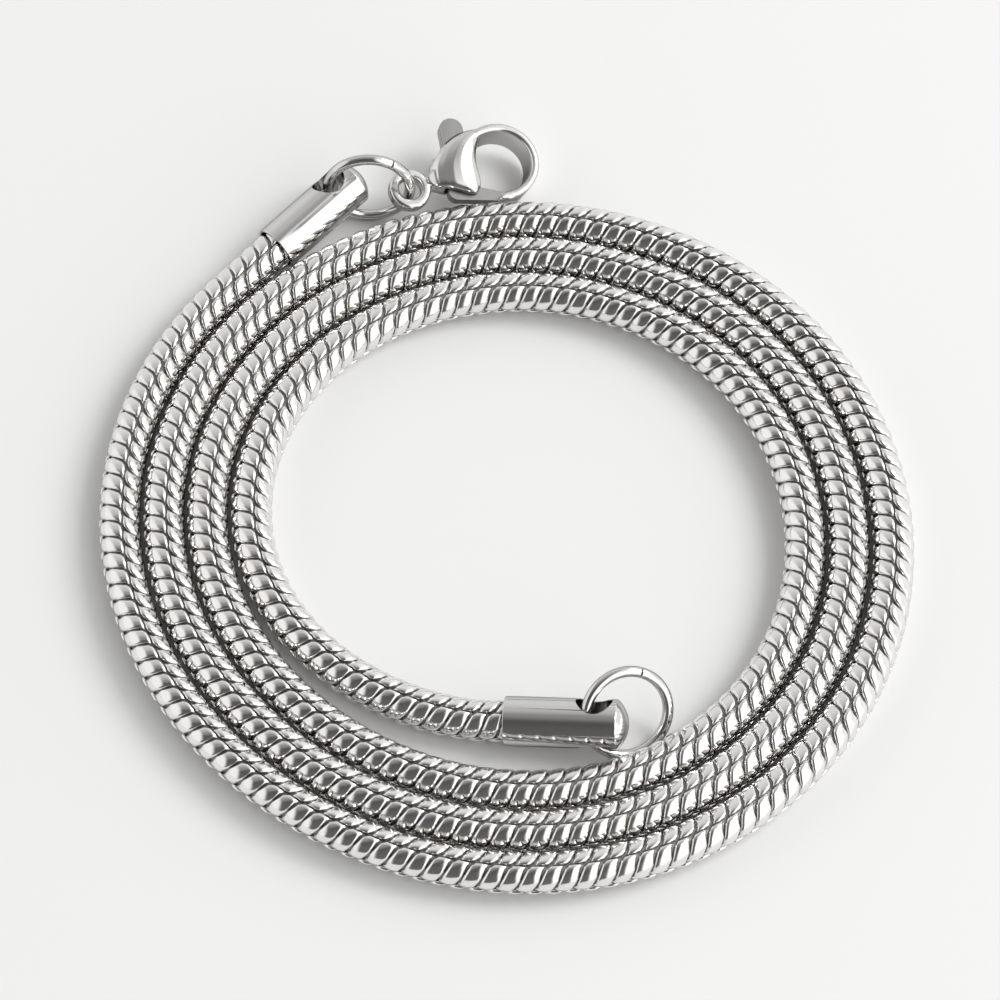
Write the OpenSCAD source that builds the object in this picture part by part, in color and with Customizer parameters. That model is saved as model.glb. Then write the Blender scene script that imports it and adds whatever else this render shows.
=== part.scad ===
// Snake chain necklace lying coiled flat, with two end caps, two jump rings and a lobster claw clasp

/* [Chain] */
// Outer diameter of the snake chain
chain_d = 3.2; // [2.8:0.1:3.4]
// Free space between neighbouring turns of the coil
turn_gap = 0.1; // [0.05:0.05:0.6]

/* [Coil] */
// Radius of the chain's middle line one turn and a half from the spiral's start
coil_r = 23.25; // [22.5:0.25:26]
// How far the coil is pulled into an oval along its diagonals
coil_oval = 0.43; // [0:0.05:0.6]
// Depth of the coil's three slow lobes
coil_lobe = 0.15; // [0:0.05:0.3]
// Room that the inner cap and its ring find beside the next turn
inner_room = 0.91; // [0.7:0.01:0.92]
// How far the outer cap's mouth lies below the coil's far side
cap_drop = 3.93; // [2.5:0.05:3.95]

/* [End caps] */
// Outer diameter of a cap
cap_d = 3.7; // [3.66:0.02:4]
// Length of a cap's straight side
cap_l = 8.3; // [7.5:0.1:10]
// Length of the cone at the mouth that takes the chain
cap_cone = 0.7; // [0.4:0.1:1.2]
// Height of the domed end
cap_dome = 0.85; // [0.6:0.05:1.4]
// Wall of the cap round the chain at the mouth
cap_lip = 0.2; // [0.15:0.01:0.24]
// Depth of the socket that the chain sits in
socket_depth = 1.4; // [1:0.1:2.5]
// Distance of the cross hole's centre from the rim of the dome
hole_inset = 1.7; // [1.6:0.05:2.1]
// Turn of the cross hole about the outer cap, from straight up
hole_turn_a = 27; // [20:1:34]
// Turn of the cross hole about the inner cap, from straight up
hole_turn_b = 42; // [40:1:46]

/* [Jump rings] */
// Outer diameter of a jump ring
ring_d = 7.2; // [7:0.1:7.5]
// Diameter of the ring's wire
ring_wire = 0.8; // [0.7:0.05:0.9]
// Width of the saw cut where a ring closes
ring_cut = 0.06; // [0.04:0.01:0.12]

/* [Clasp] */
// Outer diameter of the clasp's eye
eye_d = 3.3; // [3.2:0.1:3.5]
// Diameter of the hole in the eye
eye_hole = 1.8; // [1.75:0.05:1.9]
// Thickness of the eye
eye_t = 1.2; // [1:0.1:1.3]
// Distance from the eye's centre to the hook's centre
hook_reach = 7.4; // [7.2:0.05:7.7]
// Outer diameter of the hook
hook_d = 6.4; // [6.2:0.1:6.6]
// Width of the hook's band, seen from above
hook_w = 0.65; // [0.55:0.05:0.8]
// Height of the hook's band
hook_h = 2.6; // [2.4:0.1:2.7]
// How far the hook's underside draws in
hook_draft = 0.2; // [0.1:0.05:0.3]
// Greatest thickness of the crowned body
body_t = 3; // [2.8:0.1:3.4]
// Size of the bevels on the eye and the hook
bevel = 0.16; // [0.1:0.02:0.2]

/* [Lever] */
// Thickness of the lever plate
lever_t = 0.9; // [0.7:0.05:1.1]
// Diameter of the round thumb tab
tab_d = 1.9; // [1.7:0.1:2.1]
// Distance of the tab's centre from the pivot
tab_reach = 3.45; // [3.3:0.05:3.8]
// Diameter of the pivot pin
pin_d = 0.9; // [0.7:0.05:1]
// Width of metal round the pivot bore
boss_w = 0.6; // [0.5:0.05:0.7]
// Width of the gate at its end
gate_w = 0.7; // [0.6:0.05:0.8]
// Width of the gate's heel inside the body
heel_w = 1.45; // [1.3:0.05:1.6]
// Angle that the lever can be pressed through
lever_travel = 20; // [16:1:22]

/* [Hidden] */

// Clearances
// Gap between a resting piece and the surface
rest_gap = 0.02;
// Gap round the chain in a cap's socket
socket_fit = 0.03;
// Play of the wire in a cap's cross hole, on each side
hole_play = 0.66;
// Running clearance of the pivot, on the radius
pin_fit = 0.05;
// Space above and below the lever in the body's slot
slot_gap = 0.12;
// Space beside the moving lever in the body's slot
side_gap = 0.25;
// How deep one shape runs into the next where both are one solid
joint_depth = 0.1;
// How far a cutting shape runs past the metal it cuts
cut_past = 1;

// Finish of the surfaces
$fn = 64;
// Circles inside a hull
hull_fn = 32;
steel = [0.80, 0.79, 0.78];
steel_dark = [0.66, 0.65, 0.64];

// Route of the chain: angle runs clockwise from +X, seen from above
// Angle where the spiral starts, at the inner cap
inner_angle = 99;
// Angle at which coil_r holds
mean_angle = 540;
// Sections of the tube in one turn
turn_sections = 20;
// Steps of the spiral from the inner to the outer end
spiral_steps = 67;
// Angle where the inner end starts to swing in, and over how much it does
swing_start = 180;
swing_angle = 90;
// How much the swing eases off towards the cap
swing_ease = 1.1;
// Direction of the inner cap, from +X
inner_azimuth = -5;
// Direction of the outer cap, from +X
outer_azimuth = 45;
// Direction of the straight chain that leads to it
lead_azimuth = 46;
// Straight length of chain before the inner cap
inner_lead = 1.6;
// Sides of the tube
tube_sides = 8;

pitch = chain_d + turn_gap;
step = 360 / turn_sections;
outer_angle = inner_angle + spiral_steps * step;

// How far the inner end swings in: past the bend of the next turn beside the cap and its ring
next_r = coil_r - pitch * (mean_angle - inner_angle - 360) / 360;
inner_reach = (coil_r - pitch) * cos(inner_angle) + inner_lead + cap_l + ring_d / 2;
next_bend = next_r - sqrt(next_r * next_r - inner_reach * inner_reach);
inner_swing = next_bend - cap_l * sin(inner_azimuth) - inner_room;
// Straight length of chain before the outer cap, up to the coil's far side less cap_drop
outer_lead = (coil_r * (1 - sin(outer_azimuth)) - cap_drop) / sin(lead_azimuth);

// Radius of the plain spiral with its oval and lobes
function spiral_r(a) =
    coil_r + pitch * (a - mean_angle) / 360
    + coil_oval * sin(2 * a) - coil_lobe * cos(3 * a - 18);

// Inward swing of the inner end: 0 at its start, 1 after swing_angle, where it is nearly straight
function swing(a) =
    let (s = max(0, (swing_start - a) / swing_angle))
    (1 + swing_ease) * s * s - swing_ease * s * s * s;

// Point of the chain's middle line
function chain_point(a) =
    let (r = spiral_r(a) - inner_swing * swing(a))
    [r * cos(a), -r * sin(a), chain_d / 2];

// Unit vector from azimuth and rise
function heading(azimuth, rise) = [cos(azimuth) * cos(rise), sin(azimuth) * cos(rise), sin(rise)];

function unit(v) = v / norm(v);

// End caps: rise of each, from how far its ring lifts the far end
cap_lift_a = 0.65;
cap_lift_b = 0.8;
cap_rise_a = asin(cap_lift_a / cap_l);
cap_rise_b = asin(cap_lift_b / cap_l);
cap_aim_a = heading(outer_azimuth, cap_rise_a);
cap_aim_b = heading(inner_azimuth, cap_rise_b);
mouth_z = cap_d / 2 + rest_gap;
outer_end = chain_point(outer_angle);
inner_end = chain_point(inner_angle);
mouth_a = [outer_end.x, outer_end.y, mouth_z] + outer_lead * heading(lead_azimuth, 0);
mouth_b = [inner_end.x, inner_end.y, mouth_z] + inner_lead * heading(inner_azimuth, 0);

// The chain's middle line from the inner cap's socket to the outer cap's socket
seat = socket_depth - socket_fit;
route = concat(
    [mouth_b + seat * cap_aim_b, mouth_b],
    [for (i = [1 : spiral_steps]) chain_point(inner_angle + i * step)],
    [mouth_a, mouth_a + seat * cap_aim_a]);

// Direction of the tube at a point of the route
function aim(i) = unit(route[min(i + 1, len(route) - 1)] - route[max(i - 1, 0)]);

// Corner k of the tube's section at route point i, with a flat side down
function tube_corner(i, k) =
    let (d = i < 2 ? -cap_aim_b : i > len(route) - 3 ? cap_aim_a : aim(i),
         side = unit(cross([0, 0, 1], d)),
         up = cross(d, side),
         turn = 360 * (k + 0.5) / tube_sides,
         r = chain_d / 2 / (i < 2 || i > len(route) - 3 ? 1 : cos(180 / tube_sides)))
    route[i] + r * (cos(turn) * side + sin(turn) * up);

// Jump rings
ring_r = (ring_d - ring_wire) / 2;
// How far the wire bows over the width of a cap
ring_bow = ring_r - sqrt(ring_r * ring_r - cap_d * cap_d / 4);
hole_d = ring_wire + ring_bow + 2 * hole_play;

// Centre of a cap's cross hole
function hole_centre(mouth, aimed) = mouth + (cap_l - hole_inset) * aimed;
hole_a = hole_centre(mouth_a, cap_aim_a);
hole_b = hole_centre(mouth_b, cap_aim_b);

// Lie of each ring: lean of its axis from upright and the axis's direction
lean_a = 82;
face_a = -89.5;
lean_b = 48;
face_b = -66;
// Where the wire crosses its hole: inward in the ring's plane and along its axis
inset_a = 0.35;
aside_a = 0.25;
inset_b = 0.73;
aside_b = 0.43;
// Where the saw cut is, round the ring from the level direction
cut_a = 56;
cut_b = 55;

function ring_axis(lean, face) = heading(face, 90 - lean);
function ring_level(face) = heading(face + 90, 0);
function ring_slope(lean, face) = cross(ring_axis(lean, face), ring_level(face));

// Centre of a ring that stands on the surface and whose wire threads a hole
function ring_centre(hole, lean, face, inset, aside) =
    let (z = ring_r * sin(lean) + ring_wire / 2 + rest_gap,
         start = hole + aside * ring_axis(lean, face),
         r = ring_r - inset,
         climb = asin((z - start.z) / (r * sin(lean))))
    start + r * (cos(climb) * ring_level(face) + sin(climb) * ring_slope(lean, face));

centre_a = ring_centre(hole_a, lean_a, face_a, inset_a, aside_a);
centre_b = ring_centre(hole_b, lean_b, face_b, inset_b, aside_b);

// Clasp: its own frame has the eye at the centre, u to the hook, v to the tab's side, w up
clasp_azimuth = 21;
// How far its side nearer the coil is rolled up
clasp_roll = -15.5;
// Height at which the ring holds the eye, and where the wire crosses it
eye_z = 2.95;
eye_aside = 0.25;
eye_climb = asin((eye_z - centre_a.z) / (ring_r * sin(lean_a)));
eye = centre_a - eye_aside * ring_axis(lean_a, face_a)
    + ring_r * (cos(eye_climb) * ring_level(face_a) + sin(eye_climb) * ring_slope(lean_a, face_a));

// Hook's centre and the pivot, as shares of hook_reach along and across the clasp
hook_c = hook_reach * [1, 0.025];
hook_ro = hook_d / 2;
hook_ri = hook_ro - hook_w;
pivot = hook_reach * [0.568, 0.068];
// The hook's band runs from its root in the body to its tip, which ends at the gate's arc
hook_root = 120;
tip_angle = -115;

// Height of the hook's lowest rim when the clasp leans down from its eye
function hook_low(lean) =
    let (upright = cos(clasp_roll) * cos(lean))
    eye.z - hook_c.x * sin(lean) - hook_c.y * sin(clasp_roll) * cos(lean)
    - hook_h / 2 * upright - (hook_ro - hook_draft - bevel) * sqrt(1 - upright * upright);

// Lean at which the hook rests on the surface, found by halving the range
function resting_lean(low, high, halvings) =
    let (mid = (low + high) / 2)
    halvings == 0 ? mid
    : hook_low(mid) > rest_gap ? resting_lean(mid, high, halvings - 1)
    : resting_lean(low, mid, halvings - 1);
clasp_lean = resting_lean(-10, 30, 24);

// Lever: directions of the tab, the heel and the gate's end from the pivot
boss_r = pin_d / 2 + pin_fit + boss_w;
tab_angle = 81;
heel_angle = -110;
gate_angle = -46.5;
// The gate ends in an arc about the pivot, which cuts off its round end, and the hook's tip ends in
// another arc just outside it
gate_reach = 0.524 * hook_reach;
tip_gap = 0.1;
gate_past = gate_w / 3;
heel_reach = 0.237 * hook_reach;
// Steps of the fan that the gate sweeps
fan_steps = 8;
// Half width of an arm where it leaves the boss
arm_root = 0.8 * boss_r;
// Length of the pin, inside the body's crown
pin_l = 0.7 * body_t;

// Sections of the body from the hook's root round the eye's side to the chin, as shares of
// hook_reach, with the height as a share of body_t: left edge, hook's edge, height
body_rows = [
    [[0.960, 0.450], [0.925, 0.412], 0.78],
    [[0.850, 0.470], [0.885, 0.350], 0.84],
    [[0.755, 0.478], [0.855, 0.298], 0.90],
    [[0.660, 0.465], [0.826, 0.250], 0.95],
    [[0.540, 0.420], [0.802, 0.202], 1.00],
    [[0.436, 0.352], [0.782, 0.150], 1.00],
    [[0.357, 0.272], [0.767, 0.090], 0.98],
    [[0.289, 0.185], [0.760, 0.018], 0.94],
    [[0.255, 0.075], [0.756, -0.052], 0.90],
    [[0.246, -0.045], [0.750, -0.114], 0.86],
    [[0.318, -0.088], [0.737, -0.164], 0.84],
    [[0.445, -0.150], [0.720, -0.197], 0.82],
    [[0.540, -0.205], [0.700, -0.224], 0.76],
    [[0.618, -0.236], [0.670, -0.246], 0.66]
];
// A section's outline: share of the way from the left edge to the hook's edge, and share of the
// section's height. It rises steeply, crowns, falls along a flat strip and ends in a bevel
body_profile = [
    [0, 0.14], [0.05, 0.42], [0.13, 0.66], [0.26, 0.86], [0.43, 0.97], [0.62, 1], [0.87, 0.86], [1, 0.64]
];
// Sections between two rows
row_steps = 3;
// The neck between the eye and the body, which runs into both: its end, middle, width and height
neck_sink = 0.15;
neck_end = 0.36 * hook_reach;
neck_v = 0.035 * hook_reach;
neck_w = 0.185 * hook_reach;
neck_h = 0.5 * body_t;

// Box of the laid necklace, for the origin at its middle
tab_c = pivot + tab_reach * [cos(tab_angle), sin(tab_angle)];
clasp_u = heading(clasp_azimuth, -clasp_lean);
clasp_side = heading(clasp_azimuth + 90, 0);
clasp_v = cos(clasp_roll) * clasp_side - sin(clasp_roll) * cross(clasp_u, clasp_side);
clasp_w = cross(clasp_u, clasp_v);
tab_top = (eye + tab_c.x * clasp_u + tab_c.y * clasp_v).y
    + tab_d / 2 * norm([clasp_u.y, clasp_v.y]) + lever_t / 2 * abs(clasp_w.y);
tube = [for (i = [0 : len(route) - 1]) for (k = [0 : tube_sides - 1]) tube_corner(i, k)];
box_left = min([for (p = tube) p.x]);
box_right = max([for (p = tube) p.x]);
box_near = min([for (p = tube) p.y]);
middle = [(box_left + box_right) / 2, (box_near + tab_top) / 2, 0];

// Puts a piece of the coil into the part's frame
module laid() {
    translate(-middle) children();
}

// Puts a piece made along +Z at a cap's mouth, pointing along the cap
module at_mouth(mouth, azimuth, rise) {
    laid() translate(mouth) rotate([0, 90 - rise, azimuth]) children();
}

module chain() {
    last = (len(route) - 1) * tube_sides;
    sides = [
        for (i = [0 : len(route) - 2]) for (k = [0 : tube_sides - 1])
            let (n = (k + 1) % tube_sides, a = i * tube_sides, b = a + tube_sides)
            [a + k, b + k, b + n, a + n]
    ];
    start_face = [for (k = [0 : tube_sides - 1]) k];
    end_face = [for (k = [tube_sides - 1 : -1 : 0]) last + k];
    color(steel_dark)
    laid()
    polyhedron(tube, concat(sides, [start_face, end_face]), convexity = 10);
}

// A cap along +Z from its mouth, with the cross hole turned about its length
module end_cap(hole_turn) {
    dome_r = (cap_d * cap_d / 4 + cap_dome * cap_dome) / (2 * cap_dome);
    mouth_d = chain_d + 2 * (socket_fit + cap_lip);
    difference() {
        union() {
            cylinder(d1 = mouth_d, d2 = cap_d, h = cap_cone);
            translate([0, 0, cap_cone]) cylinder(d = cap_d, h = cap_l - cap_cone);
            intersection() {
                translate([0, 0, cap_l + cap_dome - dome_r]) sphere(r = dome_r);
                translate([0, 0, cap_l - joint_depth]) cylinder(d = cap_d, h = cap_dome + cut_past);
            }
        }
        translate([0, 0, -cut_past]) cylinder(d = chain_d + 2 * socket_fit, h = socket_depth + cut_past);
        translate([0, 0, cap_l - hole_inset])
        rotate([0, 0, hole_turn])
        rotate([0, 90, 0])
        cylinder(d = hole_d, h = cap_d + 2 * cut_past, center = true);
    }
}

module end_cap_a() {
    color(steel)
    at_mouth(mouth_a, outer_azimuth, cap_rise_a)
    end_cap(-hole_turn_a);
}

module end_cap_b() {
    color(steel)
    at_mouth(mouth_b, inner_azimuth, cap_rise_b)
    end_cap(-hole_turn_b);
}

// A ring of round wire with its saw cut, leaned and faced about its centre
module jump_ring(centre, lean, face, cut) {
    cut_turn = 2 * asin(ring_cut / ring_r / 2);
    laid() translate(centre)
    rotate([0, lean, face])
    rotate([0, 0, 90 + cut + cut_turn / 2])
    rotate_extrude(angle = 360 - cut_turn)
    translate([ring_r, 0]) circle(d = ring_wire);
}

module jump_ring_a() {
    color(steel) jump_ring(centre_a, lean_a, face_a, cut_a);
}

module jump_ring_b() {
    color(steel) jump_ring(centre_b, lean_b, face_b, cut_b);
}

// Puts the clasp's frame at the eye, leaning from the ring to the surface
module at_eye() {
    laid() translate(eye) rotate([0, clasp_lean, clasp_azimuth]) rotate([-clasp_roll, 0, 0]) children();
}

// Section of a band with bevelled edges, from radius ri to ro and height h, drawn in below
module band_section(ri, ro, h, draft) {
    polygon([
        [ri - draft, -h / 2 + bevel], [ri + bevel - draft, -h / 2],
        [ro - bevel - draft, -h / 2], [ro - draft, -h / 2 + bevel],
        [ro, h / 2 - bevel], [ro - bevel, h / 2], [ri + bevel, h / 2], [ri, h / 2 - bevel]
    ]);
}

// Value at share t of the way from b to c on a smooth curve through a, b, c and d
function smooth(a, b, c, d, t) =
    b + t / 2 * (c - a + t * (2 * a - 5 * b + 4 * c - d + t * (3 * (b - c) + d - a)));

// Column k of the body's table at row place r, which may lie between two rows
function body_value(k, r) =
    let (last = len(body_rows) - 1, i = min(floor(r), last - 1))
    smooth(body_rows[max(i - 1, 0)][k], body_rows[i][k], body_rows[i + 1][k],
        body_rows[min(i + 2, last)][k], r - i);

// Outline of the body's section at row place r: over the top and back below
function body_section(r) =
    let (left = hook_reach * body_value(0, r),
         right = hook_reach * body_value(1, r),
         high = body_t / 2 * body_value(2, r),
         top = [for (p = body_profile) concat(left + p[0] * (right - left), high * p[1])])
    concat(top, [for (j = [len(top) - 1 : -1 : 0]) [top[j].x, top[j].y, -top[j].z]]);

module body_shell() {
    sides = 2 * len(body_profile);
    rings = (len(body_rows) - 1) * row_steps;
    points = [for (i = [0 : rings]) each body_section(i / row_steps)];
    skin = [
        for (i = [0 : rings - 1]) for (k = [0 : sides - 1])
            let (n = (k + 1) % sides, a = i * sides, b = a + sides)
            [a + k, a + n, b + n, b + k]
    ];
    first = [for (k = [sides - 1 : -1 : 0]) k];
    last = [for (k = [0 : sides - 1]) rings * sides + k];
    polyhedron(points, concat(skin, [first, last]), convexity = 6);
}

module neck_shell() {
    near = eye_d / 2 - neck_sink + neck_w / 2;
    hull() {
        translate([near, neck_v, 0]) cylinder(d = neck_w, h = neck_h, center = true, $fn = hull_fn);
        translate([neck_end, neck_v, 0]) cylinder(d = neck_w, h = neck_h, center = true, $fn = hull_fn);
    }
}

// Plan of the space that an arm of half width w sweeps about the pivot
module sweep_plan(angle, w, reach) {
    far = w + side_gap;
    start = [cos(angle), sin(angle)];
    end = [cos(angle + lever_travel), sin(angle + lever_travel)];
    start_side = [start.y, -start.x];
    end_side = [-end.y, end.x];
    between = (start + end) / norm(start + end);
    polygon([
        far * start_side,
        reach * start + far * start_side,
        reach / cos(lever_travel / 2) * between,
        reach * end + far * end_side,
        far * end_side,
        -far * between
    ]);
}

// The slot through the body in which the lever turns
module lever_slot() {
    slot_h = lever_t + 2 * slot_gap;
    gate_turn = gate_angle + lever_travel - heel_angle;
    fan = [
        for (i = [0 : fan_steps])
            let (a = heel_angle + gate_turn * i / fan_steps)
            gate_reach * [cos(a), sin(a)]
    ];
    translate([pivot.x, pivot.y, 0])
    linear_extrude(slot_h, center = true) {
        circle(r = boss_r + side_gap);
        sweep_plan(tab_angle, tab_d / 2, tab_reach + tab_d / 2 + side_gap);
        sweep_plan(heel_angle, heel_w / 2, heel_reach + heel_w / 2 + side_gap);
        sweep_plan(gate_angle, gate_w / 2, gate_reach);
        polygon(concat([[0, 0]], fan));
    }
}

// The hook's band, ending at its tip in an arc about the pivot
module hook_band() {
    arc_r = gate_reach + tip_gap;
    arc_h = hook_h + cut_past;
    difference() {
        translate([hook_c.x, hook_c.y, 0])
        rotate([0, 0, tip_angle])
        rotate_extrude(angle = hook_root - tip_angle)
        band_section(hook_ri, hook_ro, hook_h, hook_draft);
        translate([pivot.x, pivot.y, 0])
        intersection() {
            cylinder(r = arc_r, h = arc_h, center = true);
            translate([0, -arc_r, 0]) cube([2 * arc_r, 2 * arc_r, arc_h + cut_past], center = true);
        }
    }
}

module clasp_body() {
    color(steel)
    at_eye()
    union() {
        rotate_extrude() band_section(eye_hole / 2, eye_d / 2, eye_t, 0);
        difference() {
            union() {
                body_shell();
                neck_shell();
                hook_band();
            }
            lever_slot();
            cylinder(d = eye_hole, h = body_t + cut_past, center = true);
        }
        translate([pivot.x, pivot.y, 0]) cylinder(d = pin_d, h = pin_l, center = true);
    }
}

// An arm of the lever between two round ends in the pivot's plane
module lever_arm(from, from_r, to, to_r) {
    hull() {
        translate([from.x, from.y, 0]) cylinder(r = from_r, h = lever_t, center = true, $fn = hull_fn);
        translate([to.x, to.y, 0]) cylinder(r = to_r, h = lever_t, center = true, $fn = hull_fn);
    }
}

module clasp_lever() {
    heel = heel_reach * [cos(heel_angle), sin(heel_angle)];
    gate_end = (gate_reach + gate_past) * [cos(gate_angle), sin(gate_angle)];
    color(steel_dark)
    at_eye()
    translate([pivot.x, pivot.y, 0])
    difference() {
        union() {
            cylinder(r = boss_r, h = lever_t, center = true);
            lever_arm([0, 0], arm_root, tab_c - pivot, tab_d / 2);
            lever_arm([0, 0], arm_root, heel, heel_w / 2);
            intersection() {
                lever_arm(heel, heel_w / 2, gate_end, gate_w / 2);
                cylinder(r = gate_reach, h = lever_t + cut_past, center = true);
            }
        }
        cylinder(d = pin_d + 2 * pin_fit, h = lever_t + cut_past, center = true);
    }
}

chain();
end_cap_a();
end_cap_b();
jump_ring_a();
jump_ring_b();
clasp_body();
clasp_lever();
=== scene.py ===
"""Looks of a snake chain necklace that lies coiled flat: its links, caps, rings and clasp."""

import logging
from dataclasses import dataclass, field
from enum import Enum

import bmesh
import bpy
import numpy as np
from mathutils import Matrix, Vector


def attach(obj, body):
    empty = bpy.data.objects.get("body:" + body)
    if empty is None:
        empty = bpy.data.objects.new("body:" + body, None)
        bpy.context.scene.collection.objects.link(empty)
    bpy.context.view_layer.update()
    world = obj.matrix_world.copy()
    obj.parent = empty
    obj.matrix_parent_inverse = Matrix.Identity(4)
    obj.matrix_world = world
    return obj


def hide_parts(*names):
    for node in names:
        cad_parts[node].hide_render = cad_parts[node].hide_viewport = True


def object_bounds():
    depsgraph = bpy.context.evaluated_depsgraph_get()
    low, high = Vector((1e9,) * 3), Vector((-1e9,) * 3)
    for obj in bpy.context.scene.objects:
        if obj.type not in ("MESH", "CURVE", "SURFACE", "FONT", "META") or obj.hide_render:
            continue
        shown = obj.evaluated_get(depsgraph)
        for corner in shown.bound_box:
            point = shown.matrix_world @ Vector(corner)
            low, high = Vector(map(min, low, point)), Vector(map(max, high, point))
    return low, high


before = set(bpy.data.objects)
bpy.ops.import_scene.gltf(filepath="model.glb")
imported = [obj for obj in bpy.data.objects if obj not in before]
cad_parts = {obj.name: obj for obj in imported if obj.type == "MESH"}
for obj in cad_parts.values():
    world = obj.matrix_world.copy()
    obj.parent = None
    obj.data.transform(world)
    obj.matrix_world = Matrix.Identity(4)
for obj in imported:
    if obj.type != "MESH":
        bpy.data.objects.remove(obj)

logging.basicConfig(level=logging.INFO, format="%(message)s")
LOG = logging.getLogger("necklace")

MM = 0.001
CAD_BOX = [list(corner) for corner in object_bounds()]

Colour = tuple[float, float, float]
Triple = tuple[float, float, float]
Pair = tuple[float, float]
Socket = bpy.types.NodeSocket


class Body(Enum):
    """The rigid bodies of the model that pieces ride on."""

    NECKLACE = "necklace"
    LEVER = "lever"


class Slot(Enum):
    """The material slots of the record."""

    CHAIN = "chain"
    FITTINGS = "fittings"


# Shapes


def grid_faces(rows: int, cols: int, wrap: bool = False) -> np.ndarray:
    """Quads of a grid of points: face (i, j) joins points (i, j), (i, j+1), (i+1, j+1), (i+1, j).

    Args:
        rows: Number of points along the first parameter.
        cols: Number of points along the second parameter.
        wrap: Whether the second parameter closes on itself.

    Returns:
        Face indices of shape (faces, 4).
    """
    i, j = np.meshgrid(np.arange(rows - 1), np.arange(cols if wrap else cols - 1), indexing="ij")
    k = (j + 1) % cols
    corners = [i * cols + j, i * cols + k, (i + 1) * cols + k, (i + 1) * cols + j]
    return np.stack(corners, -1).reshape(-1, 4)


def leaned_and_faced(lean: float, face: float) -> np.ndarray:
    """Matrix of a turn about y by the lean, followed by a turn about z by the face.

    Args:
        lean: Lean of an upright axis, in degrees.
        face: Direction that it leans to, seen from above, in degrees.

    Returns:
        Matrix of shape (3, 3) that turns a column of coordinates.
    """
    lean, face = np.radians([lean, face])
    tip = np.array([[np.cos(lean), 0, np.sin(lean)], [0, 1, 0], [-np.sin(lean), 0, np.cos(lean)]])
    spin = np.array([[np.cos(face), -np.sin(face), 0], [np.sin(face), np.cos(face), 0], [0, 0, 1]])
    return spin @ tip


def put_mesh(
    name: str, points: np.ndarray, faces: list[np.ndarray], smooth: bool = True
) -> bpy.types.Object:
    """Puts whole arrays of points and faces into a new mesh object at the origin.

    Args:
        name: Name of the piece.
        points: Points in metres, of shape (n, 3).
        faces: Arrays of face indices, each of shape (count, corners).
        smooth: Whether the faces are shaded smooth.

    Returns:
        The new object.
    """
    loops = np.concatenate([f.ravel() for f in faces]).astype(np.int32)
    totals = np.concatenate([np.full(len(f), f.shape[1]) for f in faces]).astype(np.int32)
    starts = np.concatenate([[0], np.cumsum(totals)[:-1]]).astype(np.int32)
    mesh = bpy.data.meshes.new(name)
    mesh.vertices.add(len(points))
    mesh.vertices.foreach_set("co", np.ascontiguousarray(points, dtype=np.float32).ravel())
    mesh.loops.add(len(loops))
    mesh.loops.foreach_set("vertex_index", loops)
    mesh.polygons.add(len(totals))
    mesh.polygons.foreach_set("loop_start", starts)
    mesh.polygons.foreach_set("use_smooth", np.full(len(totals), smooth))
    mesh.update(calc_edges=True)
    mesh.validate()
    thing = bpy.data.objects.new(name, mesh)
    bpy.context.scene.collection.objects.link(thing)
    return thing


def point_value(thing: bpy.types.Object, name: str, values: np.ndarray) -> None:
    """Gives each point of a mesh a number that its material can read.

    Args:
        thing: The mesh object.
        name: Name of the attribute.
        values: One number for each point.
    """
    layer = thing.data.attributes.new(name, "FLOAT", "POINT")
    layer.data.foreach_set("value", np.ascontiguousarray(values, dtype=np.float32))


# Finishes


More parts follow.
